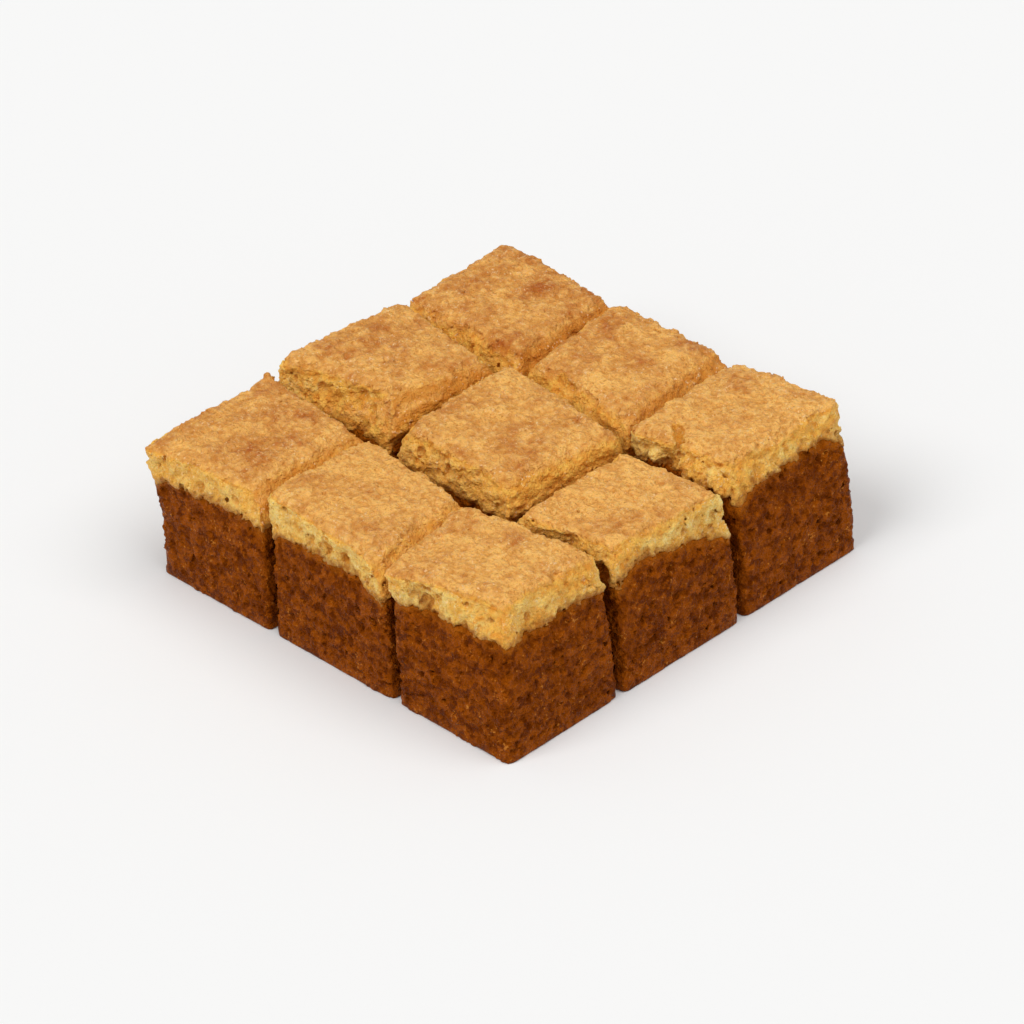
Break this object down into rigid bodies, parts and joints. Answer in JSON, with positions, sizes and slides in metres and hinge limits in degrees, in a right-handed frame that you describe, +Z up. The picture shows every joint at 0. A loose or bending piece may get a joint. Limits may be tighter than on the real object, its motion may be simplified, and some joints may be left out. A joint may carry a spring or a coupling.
{
  "type": "basbousa",
  "caption": "Block of basbousa cut into squares that stand together, each a golden porous sponge with a browned crust over a dark syrup-soaked base.",
  "frame": {"origin": "on the floor, under the middle of the block's box", "axes": "+Z up from the foot to the crust; +Y towards the back row; +X towards the right column"},
  "size_m": [0.1396, 0.1352, 0.047],
  "materials": {
    "golden_sponge": "dry porous crumb, pale yellow at the sides, with a thin browned golden crust",
    "soaked_base": "coarse crumb, dark amber brown and glossy with syrup"
  },
  "bodies": {
    "root": {"sponge_front_left": "golden_sponge", "base_front_left": "soaked_base", "sponge_front_centre": "golden_sponge", "base_front_centre": "soaked_base", "sponge_front_right": "golden_sponge", "base_front_right": "soaked_base", "sponge_mid_left": "golden_sponge", "base_mid_left": "soaked_base", "sponge_mid_centre": "golden_sponge", "base_mid_centre": "soaked_base", "sponge_mid_right": "golden_sponge", "base_mid_right": "soaked_base", "sponge_back_left": "golden_sponge", "base_back_left": "soaked_base", "sponge_back_centre": "golden_sponge", "base_back_centre": "soaked_base", "sponge_back_right": "golden_sponge", "base_back_right": "soaked_base"}
  },
  "joints": []
}
